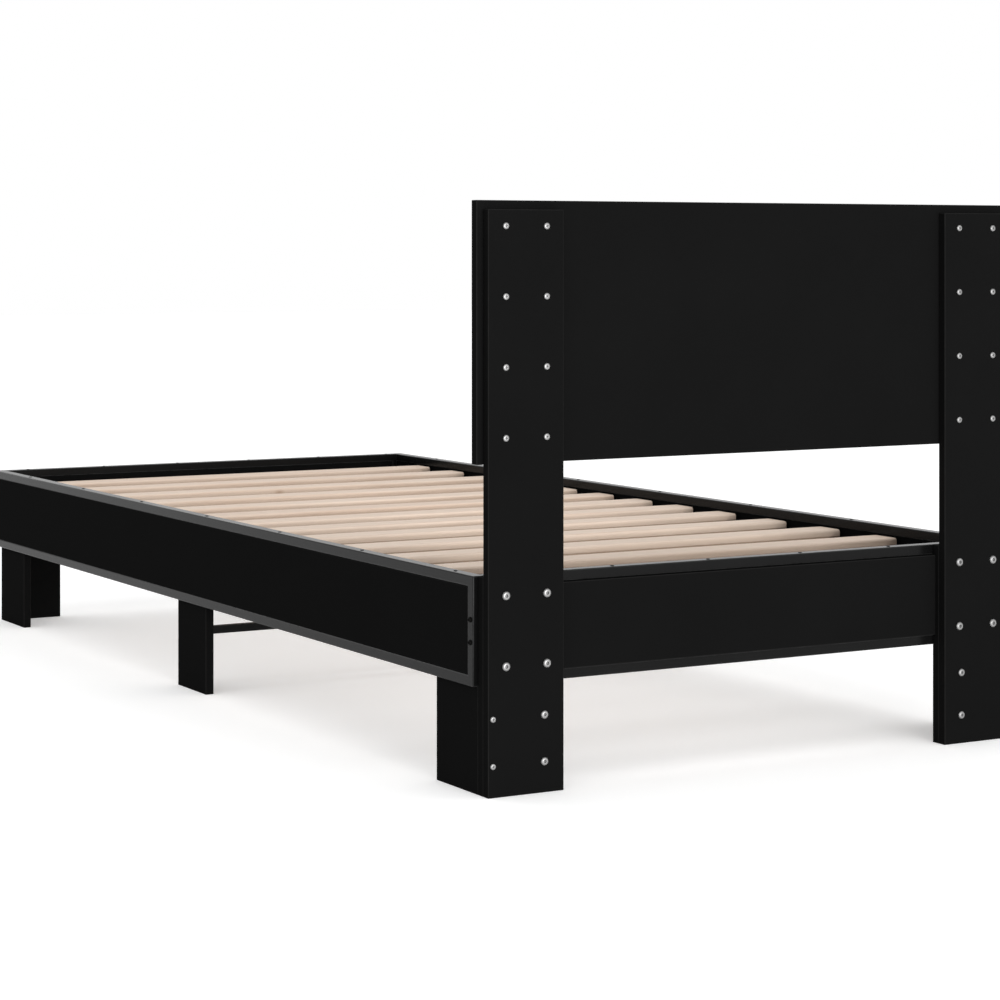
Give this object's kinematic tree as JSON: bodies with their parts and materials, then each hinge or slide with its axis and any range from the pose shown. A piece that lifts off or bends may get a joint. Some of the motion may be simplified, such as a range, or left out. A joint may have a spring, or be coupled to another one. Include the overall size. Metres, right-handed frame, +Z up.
{
  "type": "bed frame",
  "caption": "Single bed frame with a boarded steel rail frame, crosswise wooden slats, board legs and a plain panel headboard on two flat posts.",
  "frame": {"origin": "centre of the bed's outline on the floor", "axes": "+Z up, +X along the bed towards the headboard; the left side is at -Y"},
  "size_m": [2.0964, 0.962, 0.843],
  "materials": {
    "black_board": "matt black foil on board",
    "grey_steel": "dark grey satin powder coat",
    "slat_wood": "pale planed softwood, unfinished",
    "bright_steel": "bright zinc-plated steel",
    "black_steel": "blackened steel"
  },
  "bodies": {
    "root": {"foot_leg_board_left": "black_board", "foot_leg_board_right": "black_board", "foot_leg_end_board_left": "black_board", "foot_leg_end_board_right": "black_board", "foot_rail_frame": "grey_steel", "foot_rail_infill": "black_board", "frame_corner_bolts": "black_steel", "frame_corner_nuts": "bright_steel", "head_leg_board_left": "black_board", "head_leg_board_right": "black_board", "head_rail_facing": "black_board", "head_rail_frame": "grey_steel", "head_rail_infill": "black_board", "headboard_panel": "black_board", "headboard_post_left": "black_board", "headboard_post_right": "black_board", "headboard_screws": "bright_steel", "infill_screws": "black_steel", "leg_bolts": "bright_steel", "leg_bracket_foot_left": "grey_steel", "leg_bracket_foot_right": "grey_steel", "leg_bracket_head_left": "grey_steel", "leg_bracket_head_right": "grey_steel", "leg_bracket_mid_left": "grey_steel", "leg_bracket_mid_right": "grey_steel", "leg_bracket_screws": "bright_steel", "leg_dowels": "slat_wood", "leg_edge_screws": "bright_steel", "leg_nuts": "bright_steel", "mid_leg_board_left": "black_board", "mid_leg_board_right": "black_board", "mid_leg_stretcher": "grey_steel", "post_packer_left": "black_board", "post_packer_right": "black_board", "rail_bolts": "bright_steel", "rail_nuts": "bright_steel", "side_rail_frame_left": "grey_steel", "side_rail_frame_right": "grey_steel", "side_rail_infill_left": "black_board", "side_rail_infill_right": "black_board", "slat_01": "slat_wood", "slat_02": "slat_wood", "slat_03": "slat_wood", "slat_04": "slat_wood", "slat_05": "slat_wood", "slat_06": "slat_wood", "slat_07": "slat_wood", "slat_08": "slat_wood", "slat_09": "slat_wood", "slat_10": "slat_wood", "slat_11": "slat_wood", "slat_12": "slat_wood", "slat_13": "slat_wood", "slat_ledge_left": "grey_steel", "slat_ledge_right": "grey_steel", "slat_ledge_screws": "bright_steel", "stretcher_screws": "bright_steel"}
  },
  "joints": []
}
